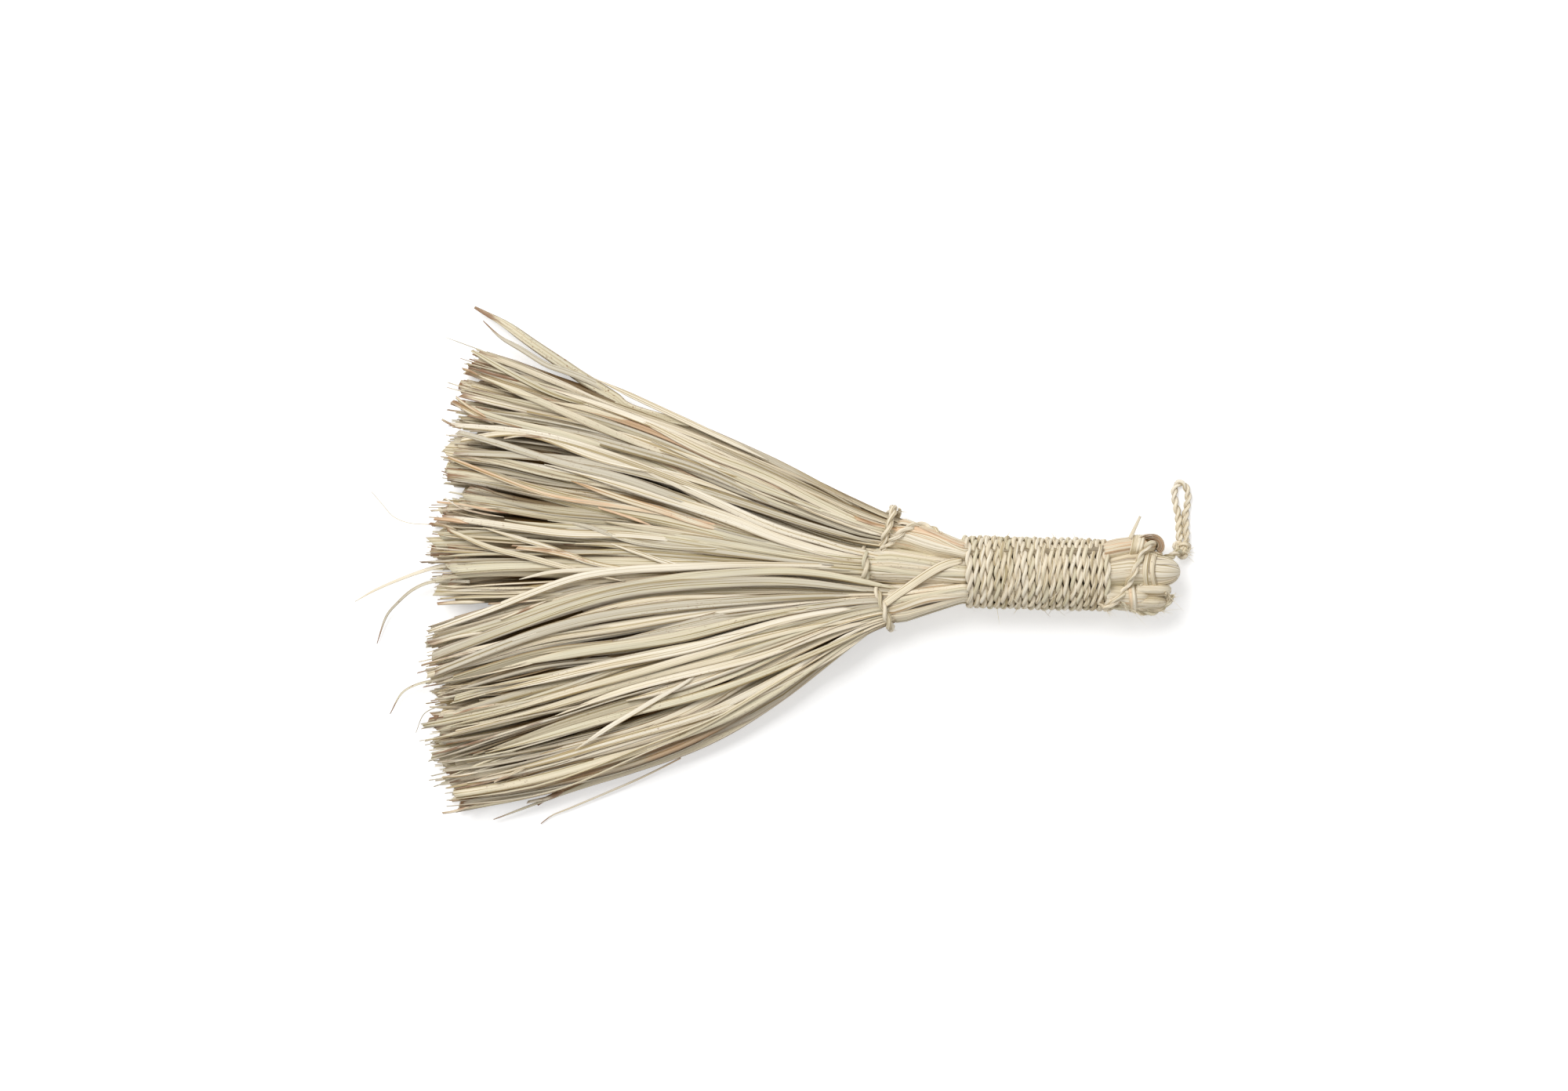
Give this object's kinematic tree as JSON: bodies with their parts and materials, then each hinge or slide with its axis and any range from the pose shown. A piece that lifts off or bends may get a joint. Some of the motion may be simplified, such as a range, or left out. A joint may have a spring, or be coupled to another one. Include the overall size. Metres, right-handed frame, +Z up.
{
  "type": "palm broom",
  "caption": "Palm-leaf hand broom: a fan of split leaf in tied bundles, bound with twisted cord into one handle with a hanging loop.",
  "frame": {"origin": "centre of the broom's footprint on the table it lies on, without the hanging loop and its knot", "axes": "+X from the cut leaf tips to the butt of the handle, +Y to the upper bundle's side, +Z up from the table"},
  "size_m": [0.4504, 0.2772, 0.0385],
  "materials": {
    "split_leaf": "dry split palm leaf, matt with a faint sheen along the veins",
    "blade_leaf": "dry palm blade, matt, flecked brown",
    "leaf_fibre": "single dry leaf fibre, matt",
    "stem_leaf": "packed dry palm leaf, matt, grey-green to peach",
    "twisted_cord": "two-ply twisted palm-leaf cord, matt",
    "loop_cord": "two-ply twisted palm-leaf cord, pale, matt",
    "band_leaf": "flat strip of pale palm leaf, matt",
    "folded_leaf": "folded palm leaf end, matt"
  },
  "bodies": {
    "broom": {"upper_leaves_1": "split_leaf", "upper_leaves_2": "split_leaf", "upper_leaves_3": "split_leaf", "middle_leaves_1": "split_leaf", "middle_leaves_2": "split_leaf", "middle_leaves_3": "split_leaf", "middle_leaves_4": "split_leaf", "middle_leaves_5": "split_leaf", "lower_leaves_1": "split_leaf", "lower_leaves_2": "split_leaf", "lower_leaves_3": "split_leaf", "lower_leaves_4": "split_leaf", "lower_leaves_5": "split_leaf", "upper_outer_blade_1": "blade_leaf", "upper_outer_blade_2": "blade_leaf", "lower_outer_blade_1": "blade_leaf", "lower_outer_blade_2": "blade_leaf", "lower_outer_fibre": "leaf_fibre", "upper_wisp": "leaf_fibre", "middle_wisp_1": "leaf_fibre", "middle_wisp_2": "leaf_fibre", "middle_wisp_3": "leaf_fibre", "lower_wisp_1": "leaf_fibre", "lower_wisp_2": "leaf_fibre", "upper_stem": "stem_leaf", "middle_stem": "stem_leaf", "lower_stem": "stem_leaf", "upper_neck_tie": "twisted_cord", "middle_neck_tie": "twisted_cord", "lower_neck_tie": "twisted_cord", "handle_binding": "twisted_cord", "neck_link_cord": "twisted_cord", "butt_lashing": "twisted_cord", "butt_edge_cord": "twisted_cord", "loop_link": "twisted_cord", "neck_cross_strap": "band_leaf", "upper_butt_band": "band_leaf", "lower_butt_band": "band_leaf", "middle_butt_band_1": "band_leaf", "middle_butt_band_2": "band_leaf", "upper_butt_curl": "folded_leaf", "middle_butt_fold": "folded_leaf", "lower_butt_fold_1": "folded_leaf", "lower_butt_fold_2": "folded_leaf"},
    "knot": {"loop_knot": "loop_cord"},
    "loop": {"hanging_loop": "loop_cord"}
  },
  "joints": [
    {"name": "loop_swing", "type": "hinge", "parent": "broom", "child": "knot", "pos_m": [0.22445, 0.00887, 0.0043], "axis": [0, 0, 1], "range_deg": [-110, 5]},
    {"name": "loop_lift", "type": "hinge", "parent": "knot", "child": "loop", "pos_m": [0.22445, 0.00887, 0.0043], "axis": [1, 0, 0], "range_deg": [0, 60]}
  ]
}
